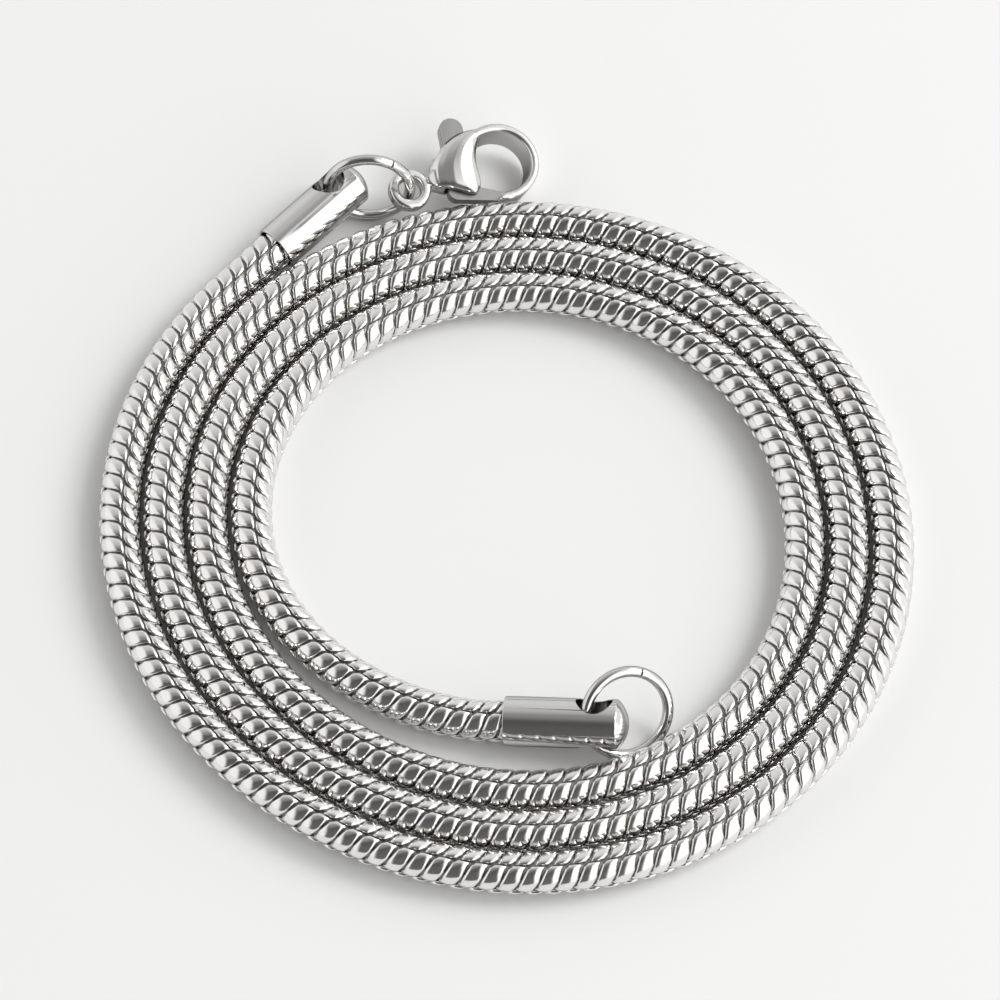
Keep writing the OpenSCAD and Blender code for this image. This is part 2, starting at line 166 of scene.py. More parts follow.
@dataclass(frozen=True)
class PolishedSteel:
    """Polished steel: a clear mirror with faint grinding marks and slow changes of tint.

    Attributes:
        name: Name of the material.
        colour: Linear colour of the metal.
        tint: Linear colour that it drifts to in places.
        rough: Least and greatest roughness.
        marks: Fineness of the grinding marks, the scale of their noise.
        depth: Depth of the marks' bump, in metres.
        gap_shade_strength: How much the attribute "gap" darkens the metal: painted shade in the gaps.
        edge: Grey tint of the metal's reflection at a grazing angle, 1 for none. Below 1 it darkens
            the edges: a painted dark reflection.
        cloud: How many times coarser than the marks the changes of tint are.
        cloud_detail: Octaves of the noise behind the changes of tint.
        mark_detail: Octaves of the noise behind the marks.
        stretch: Scale of the marks along x, y and z, least along a mark.
        turn: Turns of the noise's own grid about three axes, in radians.
        span: Part of the marks' noise that the roughness spreads over.
        relief: Strength of the marks' bump.
        gap_shade_colour: Linear colour of the painted shade in the gaps.
    """

    name: str
    colour: Colour
    tint: Colour
    rough: Pair
    marks: float
    depth: float
    gap_shade_strength: float = 0.0
    edge: float = 1.0
    cloud: float = 20.0
    cloud_detail: float = 3.0
    mark_detail: float = 4.0
    stretch: Triple = (1.0, 0.12, 0.4)
    turn: Triple = (0.3, 0.2, 0.7)
    span: Pair = (0.3, 0.7)
    relief: float = 0.35
    gap_shade_colour: Colour = (0.035, 0.032, 0.03)

    def material(self) -> bpy.types.Material:
        """Builds the node material, or finds the one that was built before.

        The colour drifts from the metal's to the tint by a coarse noise, and by the attribute "gap" to the
        painted shade in the gaps. A fine stretched noise gives the roughness and the bump of the marks.

        Returns:
            The material.
        """
        made = bpy.data.materials.get(self.name)
        if made:
            return made
        made = bpy.data.materials.new(self.name)
        made.use_nodes = True
        nodes, links = made.node_tree.nodes, made.node_tree.links
        shader = nodes["Principled BSDF"]
        shader.inputs["Metallic"].default_value = 1.0
        # Painted dark reflection: a tint below 1 darkens the reflection at grazing angles, on the edges.
        shader.inputs["Specular Tint"].default_value = (self.edge, self.edge, self.edge, 1.0)
        place = nodes.new("ShaderNodeTexCoord")
        cloud = nodes.new("ShaderNodeTexNoise")
        cloud.inputs["Scale"].default_value = self.marks / self.cloud
        cloud.inputs["Detail"].default_value = self.cloud_detail
        links.new(place.outputs["Object"], cloud.inputs["Vector"])
        stretch = nodes.new("ShaderNodeMapping")
        stretch.inputs["Scale"].default_value = self.stretch
        stretch.inputs["Rotation"].default_value = self.turn
        links.new(place.outputs["Object"], stretch.inputs["Vector"])
        grain = nodes.new("ShaderNodeTexNoise")
        grain.inputs["Scale"].default_value = self.marks
        grain.inputs["Detail"].default_value = self.mark_detail
        links.new(stretch.outputs["Vector"], grain.inputs["Vector"])
        colour = nodes.new("ShaderNodeMix")
        colour.data_type = "RGBA"
        colour.inputs["A"].default_value = (*self.colour, 1.0)
        colour.inputs["B"].default_value = (*self.tint, 1.0)
        links.new(cloud.outputs["Fac"], colour.inputs["Factor"])
        result = colour.outputs["Result"]
        # Painted shade: the attribute "gap" darkens the colour towards the shade colour of the gaps.
        if self.gap_shade_strength:
            gap = nodes.new("ShaderNodeAttribute")
            gap.attribute_name = "gap"
            weaken = nodes.new("ShaderNodeMath")
            weaken.operation = "MULTIPLY"
            weaken.inputs[1].default_value = self.gap_shade_strength
            links.new(gap.outputs["Fac"], weaken.inputs[0])
            shade = nodes.new("ShaderNodeMix")
            shade.data_type = "RGBA"
            shade.inputs["B"].default_value = (*self.gap_shade_colour, 1.0)
            links.new(weaken.outputs["Value"], shade.inputs["Factor"])
            links.new(result, shade.inputs["A"])
            result = shade.outputs["Result"]
        links.new(result, shader.inputs["Base Color"])
        rough = nodes.new("ShaderNodeMapRange")
        rough.inputs["To Min"].default_value = self.rough[0]
        rough.inputs["To Max"].default_value = self.rough[1]
        rough.inputs["From Min"].default_value = self.span[0]
        rough.inputs["From Max"].default_value = self.span[1]
        links.new(grain.outputs["Fac"], rough.inputs["Value"])
        links.new(rough.outputs["Result"], shader.inputs["Roughness"])
        bump = nodes.new("ShaderNodeBump")
        bump.inputs["Strength"].default_value = self.relief
        bump.inputs["Distance"].default_value = self.depth
        links.new(grain.outputs["Fac"], bump.inputs["Height"])
        links.new(bump.outputs["Normal"], shader.inputs["Normal"])
        return made

    def dress(self, thing: bpy.types.Object) -> None:
        """Gives an object this finish in its every material slot.

        Args:
            thing: The object.
        """
        if not thing.material_slots:
            thing.data.materials.append(self.material())
        for place in thing.material_slots:
            place.material = self.material()


@dataclass(frozen=True)
class PaleFloor:
    """Matt pale floor with slow changes of tone.

    Attributes:
        name: Name of the material.
        colour: Linear colour of the floor.
        tint: Linear colour that it drifts to in places.
        rough: Roughness.
        gloss: Specular level.
        cloud: Scale of the noise behind the changes of tone.
    """

    name: str = "pale floor"
    colour: Colour = (0.86, 0.86, 0.86)
    tint: Colour = (0.90, 0.90, 0.895)
    rough: float = 0.55
    gloss: float = 0.2
    cloud: float = 9.0

    def dress(self, thing: bpy.types.Object) -> None:
        """Gives an object without a material this finish.

        Args:
            thing: The object.
        """
        made = bpy.data.materials.new(self.name)
        made.use_nodes = True
        nodes, links = made.node_tree.nodes, made.node_tree.links
        shader = nodes["Principled BSDF"]
        shader.inputs["Roughness"].default_value = self.rough
        shader.inputs["Specular IOR Level"].default_value = self.gloss
        place = nodes.new("ShaderNodeTexCoord")
        cloud = nodes.new("ShaderNodeTexNoise")
        cloud.inputs["Scale"].default_value = self.cloud
        links.new(place.outputs["Object"], cloud.inputs["Vector"])
        colour = nodes.new("ShaderNodeMix")
        colour.data_type = "RGBA"
        colour.inputs["A"].default_value = (*self.colour, 1.0)
        colour.inputs["B"].default_value = (*self.tint, 1.0)
        links.new(cloud.outputs["Fac"], colour.inputs["Factor"])
        links.new(colour.outputs["Result"], shader.inputs["Base Color"])
        thing.data.materials.append(made)


LINK_STEEL = PolishedSteel(
    name="polished link steel",
    colour=(0.90, 0.89, 0.87),
    tint=(0.83, 0.815, 0.795),
    rough=(0.10, 0.17),
    marks=5000.0,
    depth=0.000003,
    # Painted shade in the gaps between leaves, by the attribute "gap".
    gap_shade_strength=0.55,
)
CAP_STEEL = PolishedSteel(
    name="polished cap steel",
    colour=(0.80, 0.79, 0.775),
    tint=(0.74, 0.725, 0.71),
    rough=(0.09, 0.16),
    marks=3000.0,
    depth=0.000003,
    edge=0.4,
)
# Darker colour than the other steels and the darkest edges: painted dark reflection on the wire.
WIRE_STEEL = PolishedSteel(
    name="drawn wire steel",
    colour=(0.72, 0.71, 0.70),
    tint=(0.66, 0.65, 0.635),
    rough=(0.08, 0.15),
    marks=5000.0,
    depth=0.000003,
    edge=0.1,
)
CLASP_STEEL = PolishedSteel(
    name="cast clasp steel",
    colour=(0.78, 0.77, 0.755),
    tint=(0.70, 0.69, 0.675),
    rough=(0.11, 0.2),
    marks=2500.0,
    depth=0.000005,
    edge=0.3,
)
# Far darker and rougher than the clasp body's steel, so the lever's faces show grey.
LEVER_STEEL = PolishedSteel(
    name="dark lever steel",
    colour=(0.28, 0.274, 0.268),
    tint=(0.24, 0.235, 0.23),
    rough=(0.26, 0.38),
    marks=2500.0,
    depth=0.000006,
)
# Dark colour of the core: painted shade of the chain's inside, seen between the leaves.
CORE_SHADE_STEEL = PolishedSteel(
    name="inner steel in painted shade",
    colour=(0.26, 0.254, 0.247),
    tint=(0.19, 0.185, 0.18),
    rough=(0.25, 0.4),
    marks=4000.0,
    depth=0.000004,
)


# Chain


@dataclass
class CoilRoute:
    """Middle line of the chain, from inside the inner cap to inside the outer cap, as in the source.

    The spiral's radius grows by one pitch a turn, with a small oval and three small lobes, and the angle
    runs clockwise. The inner end swings in, and a straight piece leads to each cap.

    Attributes:
        chain_d: Outer diameter of the chain, in millimetres, as all lengths here.
        pitch: Distance between neighbouring turns.
        coil_r: Radius of the middle line at mean_angle.
        coil_oval: How far the radius grows and shrinks twice a turn.
        coil_lobe: How far it grows and shrinks three times a turn.
        lobe_phase: Phase of the three lobes, in degrees, as all angles here.
        inner_swing: How far the inner end swings in.
        inner_angle: Angle where the spiral starts.
        outer_angle: Angle where it ends.
        mean_angle: Angle at which the radius is coil_r.
        swing_start: Angle below which the inner end swings in.
        swing_angle: Angle over which it swings in by the whole of inner_swing.
        swing_ease: How much the swing slows down towards the end.
        seat: How deep the chain stands in a cap, slightly less than in the source.
        ease_reach: Half the width of the window that rounds the line's bends.
        middle: Middle of the whole necklace in the coil's own frame.
        mouth_inner: Mouth of the inner cap in the coil's own frame.
        mouth_outer: Mouth of the outer cap in the coil's own frame.
        aim_inner: Direction from the inner cap's mouth into the cap.
        aim_outer: Direction from the outer cap's mouth into the cap.
        samples: Number of points on the line.
        points: The points, in metres in the part's frame.
        lengths: Distance of each point along the line, in metres.
        outward: Level direction away from the coil's middle at each point.
        upward: Direction at a right angle to the line and to outward, mostly upright.
    """

    chain_d: float = 3.2
    pitch: float = 3.3
    coil_r: float = 23.25
    coil_oval: float = 0.43
    coil_lobe: float = 0.15
    lobe_phase: float = 18.0
    inner_swing: float = 2.35
    inner_angle: float = 99.0
    outer_angle: float = 1305.0
    mean_angle: float = 540.0
    swing_start: float = 180.0
    swing_angle: float = 90.0
    swing_ease: float = 1.1
    seat: float = 1.2
    ease_reach: float = 1.6
    middle: Pair = (-0.960564, 2.58902)
    mouth_inner: Triple = (-1.0559, -16.8697, 1.87)
    mouth_outer: Triple = (-18.8738, 24.5345, 1.87)
    aim_inner: Triple = (0.99157, -0.08675, 0.09639)
    aim_outer: Triple = (0.70493, 0.70493, 0.07831)
    samples: int = 14000
    points: np.ndarray = field(init=False)
    lengths: np.ndarray = field(init=False)
    outward: np.ndarray = field(init=False)
    upward: np.ndarray = field(init=False)

    def __post_init__(self) -> None:
        """Works out the line, its length and its side directions as whole arrays."""
        line = self.rounded(self.bare_line())
        self.points = (line - [*self.middle, 0.0]) * MM
        along = np.gradient(self.points, axis=0)
        along /= np.linalg.norm(along, axis=1, keepdims=True)
        side = np.stack([-along[:, 1], along[:, 0], np.zeros(len(along))], -1)
        self.outward = side / np.linalg.norm(side, axis=1, keepdims=True)
        self.upward = np.cross(along, self.outward)
        step = np.linalg.norm(np.diff(self.points, axis=0), axis=1)
        self.lengths = np.concatenate([[0], np.cumsum(step)])

    def bare_line(self) -> np.ndarray:
        """The spiral with a straight piece at both ends, before its bends are rounded.

        With a the angle and s how far a is below the swing's start, as a share of the swing's angle, the
        radius is coil_r, plus the pitch times the turns from the mean angle, plus the oval times sin 2a,
        less the lobe times cos (3a - phase), less the swing times (1 + ease) s squared - ease s cubed.

        Returns:
            Points in millimetres in the coil's own frame, of shape (samples + 4, 3).
        """
        a = np.linspace(self.inner_angle, self.outer_angle, self.samples)
        turn = np.radians(a)
        s = np.maximum(0.0, (self.swing_start - a) / self.swing_angle)
        swing = (1 + self.swing_ease) * s**2 - self.swing_ease * s**3
        r = (
            self.coil_r
            + self.pitch * (a - self.mean_angle) / 360
            + self.coil_oval * np.sin(2 * turn)
            - self.coil_lobe * np.cos(3 * turn - np.radians(self.lobe_phase))
            - self.inner_swing * swing
        )
        spiral = np.stack([r * np.cos(turn), -r * np.sin(turn), np.full_like(r, self.chain_d / 2)], -1)
        start = np.array(self.mouth_inner) + self.seat * np.array(self.aim_inner)
        end = np.array(self.mouth_outer) + self.seat * np.array(self.aim_outer)
        return np.concatenate([[start, self.mouth_inner], spiral, [self.mouth_outer, end]])

    def rounded(self, line: np.ndarray) -> np.ndarray:
        """Spreads points evenly along a line and takes their mean over a bell-shaped window.

        Beyond each end the line goes on as its own half turn about that end, which keeps the end in place.

        Args:
            line: Points of shape (n, 3).

        Returns:
            Points of shape (samples, 3).
        """
        run = np.concatenate([[0], np.cumsum(np.linalg.norm(np.diff(line, axis=0), axis=1))])
        even = np.linspace(0, run[-1], self.samples)
        line = np.stack([np.interp(even, run, line[:, k]) for k in range(3)], -1)
        width = int(self.ease_reach / (even[1] - even[0]))
        window = np.hanning(2 * width + 1)
        window /= window.sum()
        ahead = line[:1] + (line[:1] - line[width:0:-1])
        beyond = line[-1:] + (line[-1:] - line[-2 : -width - 2 : -1])
        padded = np.concatenate([ahead, line, beyond])
        return np.stack([np.convolve(padded[:, k], window, "valid") for k in range(3)], -1)

    @property
    def length(self) -> float:
        """Length of the middle line in metres."""
        return float(self.lengths[-1])

    def surface(self, run: np.ndarray, turn: np.ndarray, radius: np.ndarray) -> np.ndarray:
        """Points around the line: the line's point plus radius along a direction turned about the line.

        Args:
            run: Distance along the line, in metres.
            turn: Angle about the line from straight up, outward positive, in radians.
            radius: Distance from the line, in metres.

        Returns:
            Points with one more axis than the arguments, of length 3.
        """
        shape = run.shape
        run = np.clip(run.ravel(), 0, self.length)
        centre = np.stack([np.interp(run, self.lengths, self.points[:, k]) for k in range(3)], -1)
        out = np.stack([np.interp(run, self.lengths, self.outward[:, k]) for k in range(3)], -1)
        up = np.stack([np.interp(run, self.lengths, self.upward[:, k]) for k in range(3)], -1)
        way = np.cos(turn.ravel())[:, None] * up + np.sin(turn.ravel())[:, None] * out
        return (centre + radius.ravel()[:, None] * way).reshape(*shape, 3)


@dataclass
class LinkLeaf:
    """One leaf of a link: a plate between two S-shaped edges, with a rounded rim and two dipped corners.

    Attributes:
        width: Width of the leaf, as a share of the link pitch.
        cut: How much the cut corners take off the width at their end, as a share of the pitch.
        bend: Power by which a cut grows towards its corner.
        slant: How far the leaf leans along the chain over its height, as a share of the pitch.
        curl: How far an end curls further along the chain, as a share of the pitch.
        curl_bend: Power by which the curl grows towards the end.
        rim: Drop of the rim, in metres.
        crown: Drop of the face towards the rim, in metres.
        crown_bend: Power by which that drop grows towards the left and right rim.
        flank: Drop of a flank at its corner, in metres.
        flank_from: Where a flank starts, from 0 at the middle to 1 at the corner.
        skirt: Depth of the leaf's edge walls, in metres.
        skirt_draw: Shares that the skirt's foot is drawn in to, along the chain and in height.
        tall: Height of the leaf, as a share of its row.
        rim_shade: Value of the attribute "gap", a painted shade, where the face lies as low as its rim.
            At the skirt's foot it is 1.
        across: Places of the grid's points from the left edge to the right.
        upright: Places of the grid's points from the lower edge to the upper.
    """

    width: float = 0.96
    cut: float = 0.24
    bend: float = 2.0
    slant: float = 0.35
    curl: float = 0.17
    curl_bend: float = 4.0
    rim: float = 0.0001
    crown: float = 0.00009
    crown_bend: float = 3.0
    flank: float = 0.00014
    flank_from: float = 0.55
    skirt: float = 0.00030
    skirt_draw: Pair = (0.9, 0.93)
    tall: float = 0.96
    rim_shade: float = 0.25
    across: tuple[float, ...] = (-1.0, -0.87, -0.62, 0.0, 0.62, 0.87, 1.0)
    upright: tuple[float, ...] = (-1.0, -0.93, -0.72, 0.0, 0.72, 0.93, 1.0)

    def face(self) -> tuple[np.ndarray, np.ndarray, np.ndarray]:
        """Grid of the leaf's face.

        The place along the chain runs evenly from the left to the right edge. An edge stands half the
        width from the middle, less the cut times a power of the height on the side of its cut corner.
        The whole leans by the slant, and its ends curl on by a higher power of the height. The drop is
        the rim at the border, plus the crown times a power of the distance across and half the square
        of the height, plus the flank, which grows evenly beyond its start along the long diagonal.

        Returns:
            Place along the chain in pitches, height from -1 to 1 and drop in metres, each (7, 7).
        """
        v, u = np.meshgrid(self.upright, self.across, indexing="ij")
        left = -self.width / 2 + self.cut * np.maximum(v, 0) ** self.bend
        right = self.width / 2 - self.cut * np.maximum(-v, 0) ** self.bend
        lean = self.slant * v / 2 + self.curl * np.sign(v) * np.abs(v) ** self.curl_bend
        place = (left * (1 - u) + right * (1 + u)) / 2 + lean
        border = (np.abs(u) == 1) | (np.abs(v) == 1)
        reach = np.abs(u + v) / 2
        flank = np.maximum(0, reach - self.flank_from) / (1 - self.flank_from)
        pillow = np.abs(u) ** self.crown_bend + v**2 / 2
        drop = self.rim * border + self.crown * pillow + self.flank * flank
        return place, v * self.tall, drop

    def plate(self) -> tuple[np.ndarray, np.ndarray, list[np.ndarray]]:
        """The whole leaf: its face, and a skirt from the border down to one closing face.

        Returns:
            Place along the chain in pitches, height from -1 to 1 and drop in metres of each point, as
            one array (3, points), then the painted shade "gap" of each point, then the faces' indices.
        """
        face = np.stack(self.face())
        rows, cols = face.shape[1:]
        flat = np.arange(rows * cols).reshape(rows, cols)
        border = np.concatenate([flat[0, :], flat[1:, -1], flat[-1, -2::-1], flat[-2:0:-1, 0]])
        face = face.reshape(3, -1)
        foot = face[:, border] * [[self.skirt_draw[0]], [self.skirt_draw[1]], [1.0]]
        foot[2] += self.skirt
        # Painted shade: a quarter of it where the face lies as low as the rim, all of it on the skirt's
        # foot.
        gap = np.concatenate([self.rim_shade * (face[2] >= self.rim), np.ones(len(border))])
        ring = np.arange(len(border))
        after = (ring + 1) % len(border)
        base = rows * cols
        wall = np.stack([border[ring], base + ring, base + after, border[after]], -1)
        floor = (base + ring[::-1])[None, :]
        quads = np.concatenate([grid_faces(rows, cols), wall])
        return np.concatenate([face, foot], axis=1), gap, [quads, floor]


@dataclass
class SnakeChain:
    """The chain: several hundred links of four leaves each, in four runs, round a core in painted shade.

    Attributes:
        route: Middle line of the chain.
        leaf: Shape of one leaf.
        links: Number of links.
        rows: Leaves round the chain.
        parts: Number of pieces that the links are split into.
        row_angle: Mean angle from straight up of a row's border, outward positive, in degrees.
        row_sway: How far the border sways out where the coil faces sway_to, and in on its other side.
        sway_to: Level direction of the most sway.
        core_r: Mean radius of the core, in metres.
        core_wave: How far the core's radius grows and shrinks once a link, in metres.
        core_sides: Points round the core.
        core_steps: Points along the core for each link.
    """

    route: CoilRoute = field(default_factory=CoilRoute)
    leaf: LinkLeaf = field(default_factory=LinkLeaf)
    links: int = 394
    rows: int = 4
    parts: int = 4
    row_angle: float = -3.0
    row_sway: float = 11.0
    sway_to: Triple = (0.7071, -0.7071, 0.0)
    core_r: float = 0.00119
    core_wave: float = 0.00005
    core_sides: int = 14
    core_steps: int = 4

    def leaf_mesh(self, first: int, last: int, name: str) -> bpy.types.Object:
        """Builds the leaves of a run of links as one mesh of separate closed plates.

        A leaf's points stand round the middle line. Their distance along it is the link's middle plus
        their place, and their angle is the row's border plus half a row times one plus their height. The
        radius is the chain's less their drop.

        Args:
            first: Number of the first link.
            last: Number after the last link.
            name: Name of the piece.

        Returns:
            The new object.
        """
        (place, high, drop), gap, faces = self.leaf.plate()
        pitch = self.route.length / self.links
        link = np.arange(first, last)
        row = np.arange(self.rows)
        shape = (len(link), len(row), len(place))
        middle = (link + 0.5) * pitch
        run = np.broadcast_to(middle[:, None, None] + place * pitch, shape)
        half = np.pi / self.rows
        sway = np.interp(run, self.route.lengths, self.route.outward @ self.sway_to)
        seam = np.radians(self.row_angle + self.row_sway * sway)
        turn = seam + (2 * row[None, :, None] + 1 + high) * half
        radius = np.broadcast_to(self.route.chain_d * MM / 2 - drop, shape)
        points = self.route.surface(run, turn, radius).reshape(-1, 3)
        leaves = len(link) * len(row)
        shift = (np.arange(leaves) * len(place))[:, None, None]
        thing = put_mesh(name, points, [(f[None] + shift).reshape(-1, f.shape[1]) for f in faces])
        # The painted shade of each point, for the material.
        point_value(thing, "gap", np.tile(gap, leaves))
        return thing

    def core_mesh(self) -> bpy.types.Object:
        """Builds the shaded core: a tube along the chain, closed at both ends.

        Its radius is the mean radius plus the wave times the cosine of one full turn for each link.

        Returns:
            The new object.
        """
        sides = self.core_sides
        run, turn = np.meshgrid(
            np.linspace(0, self.route.length, self.links * self.core_steps + 1),
            np.arange(sides) * 2 * np.pi / sides,
            indexing="ij",
        )
        wave = np.cos(run / self.route.length * self.links * 2 * np.pi)
        points = self.route.surface(run, turn, self.core_r + self.core_wave * wave).reshape(-1, 3)
        rows = run.shape[0]
        ends = np.stack([np.arange(sides)[::-1], (rows - 1) * sides + np.arange(sides)])
        return put_mesh("chain_core", points, [grid_faces(rows, sides, wrap=True), ends])

    def build(self) -> list[bpy.types.Object]:
        """Builds, dresses and seats all pieces of the chain.

        Returns:
            The pieces, the core first.
        """
        core = self.core_mesh()
        # The core's dark finish is painted shade.
        CORE_SHADE_STEEL.dress(core)
        edges = np.linspace(0, self.links, self.parts + 1).astype(int)
        made = [core]
        for k in range(self.parts):
            piece = self.leaf_mesh(edges[k], edges[k + 1], f"chain_links_{k + 1}")
            LINK_STEEL.dress(piece)
            made.append(piece)
        for piece in made:
            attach(piece, Body.NECKLACE.value)
            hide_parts("chain")
        return made


# Fittings


@dataclass
class JumpRing:
    """A ring of round wire with its saw cut, leaned over and faced about its centre.

    Attributes:
        node: Name of the node that it stands for.
        centre: Centre of the ring, in millimetres in the part's frame, as all lengths here.
        lean: Lean of its axis from upright, in degrees.
        face: Direction of its axis seen from above, in degrees.
        cut: Angle round the ring from the level direction to the saw cut, in degrees.
        ring_d: Outer diameter.
        wire: Diameter of the wire.
        cut_width: Width of the saw cut.
        burr: How much the wire is rounded where it was cut.
        burr_steps: Circles of points over that rounding.
        along: Circles of points along the rest of the wire, with the last of each rounding.
        around: Points round the wire.
    """

    node: str
    centre: Triple
    lean: float
    face: float
    cut: float
    ring_d: float = 7.2
    wire: float = 0.8
    cut_width: float = 0.07
    burr: float = 0.06
    burr_steps: int = 5
    along: int = 180
    around: int = 28

    def build(self) -> bpy.types.Object:
        """Builds the ring as a wire that is closed at both sides of its cut.

        A circle of the wire's radius is carried round the ring from one side of the cut to the other, and
        is drawn in over a quarter circle at both ends. The y axis stays level when the ring leans, so the
        angle of the cut counts from there.

        Returns:
            The new object, dressed and seated.
        """
        radius = (self.ring_d - self.wire) / 2
        half_cut = self.cut_width / radius / 2
        bow = np.linspace(0, np.pi / 2, self.burr_steps)
        start = half_cut + self.burr * (1 - np.cos(bow)) / radius
        start_r = self.wire / 2 - self.burr * (1 - np.sin(bow))
        middle = np.linspace(start[-1], 2 * np.pi - start[-1], self.along)[1:-1]
        turn = np.concatenate([start, middle, 2 * np.pi - start[::-1]])
        thick = np.concatenate([start_r, np.full(len(middle), self.wire / 2), start_r[::-1]])[:, None]
        turn = (turn + np.radians(90 + self.cut))[:, None]
        bend = np.linspace(0, 2 * np.pi, self.around, endpoint=False)
        out = radius + thick * np.cos(bend)
        ring = np.stack([out * np.cos(turn), out * np.sin(turn), thick * np.sin(bend)], -1)
        points = (ring.reshape(-1, 3) @ leaned_and_faced(self.lean, self.face).T + self.centre) * MM
        rows = len(turn)
        circle = np.arange(self.around)
        ends = np.stack([circle, (rows - 1) * self.around + circle[::-1]])
        quads = grid_faces(rows, self.around, wrap=True)[:, ::-1]
        thing = put_mesh(f"{self.node}_wire", points, [quads, ends])
        WIRE_STEEL.dress(thing)
        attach(thing, Body.NECKLACE.value)
        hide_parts(self.node)
        return thing


@dataclass
class WorkedSolid:
    """A merged copy of a solid's mesh with its edges rounded, which stands for the solid.

    Attributes:
        node: Name of the node.
        name: Name of the piece.
        body: Body that it rides on.
        finish: Its finish.
        edge: Width of the rounding on its sharp edges, in metres.
        voxel: Size of the grid that its skin is laid on anew, in metres, or 0 to keep its faces.
        passes: Passes of smoothing after that.
        sharp: Least angle between the two faces of an edge that is rounded, in radians.
        segments: Faces across a rounding.
        ease: How far a pass of smoothing goes, from 0 to 1.
        merge: Distance under which two points become one, in metres.
        flat: Angle under which two faces become one, in radians.
    """

    node: str
    name: str
    body: Body
    finish: PolishedSteel
    edge: float = 0.0
    voxel: float = 0.0
    passes: int = 0
    sharp: float = 0.6
    segments: int = 3
    ease: float = 0.5
    merge: float = 0.000001
    flat: float = 0.002

    def merged_copy(self) -> bpy.types.Mesh:
        """Copies the solid's mesh, merges its loose triangles and drops the normals that came with it.

        Returns:
            The new mesh, shaded smooth.
        """
        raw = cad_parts[self.node].data.copy()
        tool = bmesh.new()
        tool.from_mesh(raw)
        bmesh.ops.remove_doubles(tool, verts=tool.verts, dist=self.merge)
        bmesh.ops.dissolve_limit(tool, angle_limit=self.flat, verts=tool.verts, edges=tool.edges)
        tool.to_mesh(raw)
        tool.free()
        old_normals = raw.attributes.get("custom_normal")
        if old_normals:
            raw.attributes.remove(old_normals)
        raw.shade_smooth()
        return raw

    def soften(self, rough: bpy.types.Object) -> None:
        """Adds the modifiers that round the edges: a new skin that is smoothed, or a bevel.

        Args:
            rough: The object with the merged mesh.
        """
        if self.voxel:
            grid = rough.modifiers.new("skin", "REMESH")
            grid.mode = "VOXEL"
            grid.voxel_size = self.voxel
            grid.use_smooth_shade = True
            relax = rough.modifiers.new("relax", "SMOOTH")
            relax.factor = self.ease
            relax.iterations = self.passes
        else:
            round_off = rough.modifiers.new("edges", "BEVEL")
            round_off.width = self.edge
            round_off.segments = self.segments
            round_off.limit_method = "ANGLE"
            round_off.angle_limit = self.sharp
            round_off.harden_normals = True

    def build(self) -> bpy.types.Object:
        """Merges the copy, rounds its edges and puts the result into one mesh.

        Returns:
            The new object, dressed and seated.
        """
        rough = bpy.data.objects.new(f"{self.name}_rough", self.merged_copy())
        bpy.context.scene.collection.objects.link(rough)
        self.soften(rough)
        graph = bpy.context.evaluated_depsgraph_get()
        mesh = bpy.data.meshes.new_from_object(rough.evaluated_get(graph))
        bpy.data.objects.remove(rough)
        mesh.name = self.name
        mesh.materials.clear()
        thing = bpy.data.objects.new(self.name, mesh)
        bpy.context.scene.collection.objects.link(thing)
        self.finish.dress(thing)
        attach(thing, self.body.value)
        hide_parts(self.node)
        return thing


@dataclass
class Fittings:
    """The caps, rings, clasp and lever.

    Attributes:
        rings: The two jump rings.
        solids: The two caps, the clasp's body and its lever.
    """

    rings: tuple[JumpRing, ...] = (
        JumpRing("jump_ring_a", (-10.66514, 26.53718, 3.58886), lean=82.0, face=-89.5, cut=56.0),
        JumpRing("jump_ring_b", (8.83382, -19.31512, 2.79806), lean=48.0, face=-66.0, cut=55.0),
    )
    solids: tuple[WorkedSolid, ...] = (
        WorkedSolid("end_cap_a", "end_cap_a_shell", Body.NECKLACE, CAP_STEEL, edge=0.0001),
        WorkedSolid("end_cap_b", "end_cap_b_shell", Body.NECKLACE, CAP_STEEL, edge=0.0001),
        WorkedSolid("clasp_body", "clasp_body_cast", Body.NECKLACE, CLASP_STEEL, voxel=0.000055, passes=16),
        WorkedSolid("clasp_lever", "clasp_lever_plate", Body.LEVER, LEVER_STEEL, edge=0.00006),
    )

    def build(self) -> list[bpy.types.Object]:
        """Builds each ring and solid and returns the pieces."""
        return [part.build() for part in (*self.rings, *self.solids)]


# Studio


@dataclass
class Softbox:
    """A square softbox that faces the necklace.

    Attributes:
        name: Name of the light.
        place: Where it hangs, in metres.
        size: Length of its side, in metres.
        power: Power in watts.
    """

    name: str
    place: Triple
    size: float
    power: float

    def hang(self) -> None:
        """Hangs the softbox in its place, turned towards the origin."""
        data = bpy.data.lights.new(self.name, "AREA")
        data.size = self.size
        data.energy = self.power
        thing = bpy.data.objects.new(self.name, data)
        bpy.context.scene.collection.objects.link(thing)
        thing.location = self.place
        thing.rotation_mode = "QUATERNION"
        thing.rotation_quaternion = (-Vector(self.place)).to_track_quat("-Z", "Y")


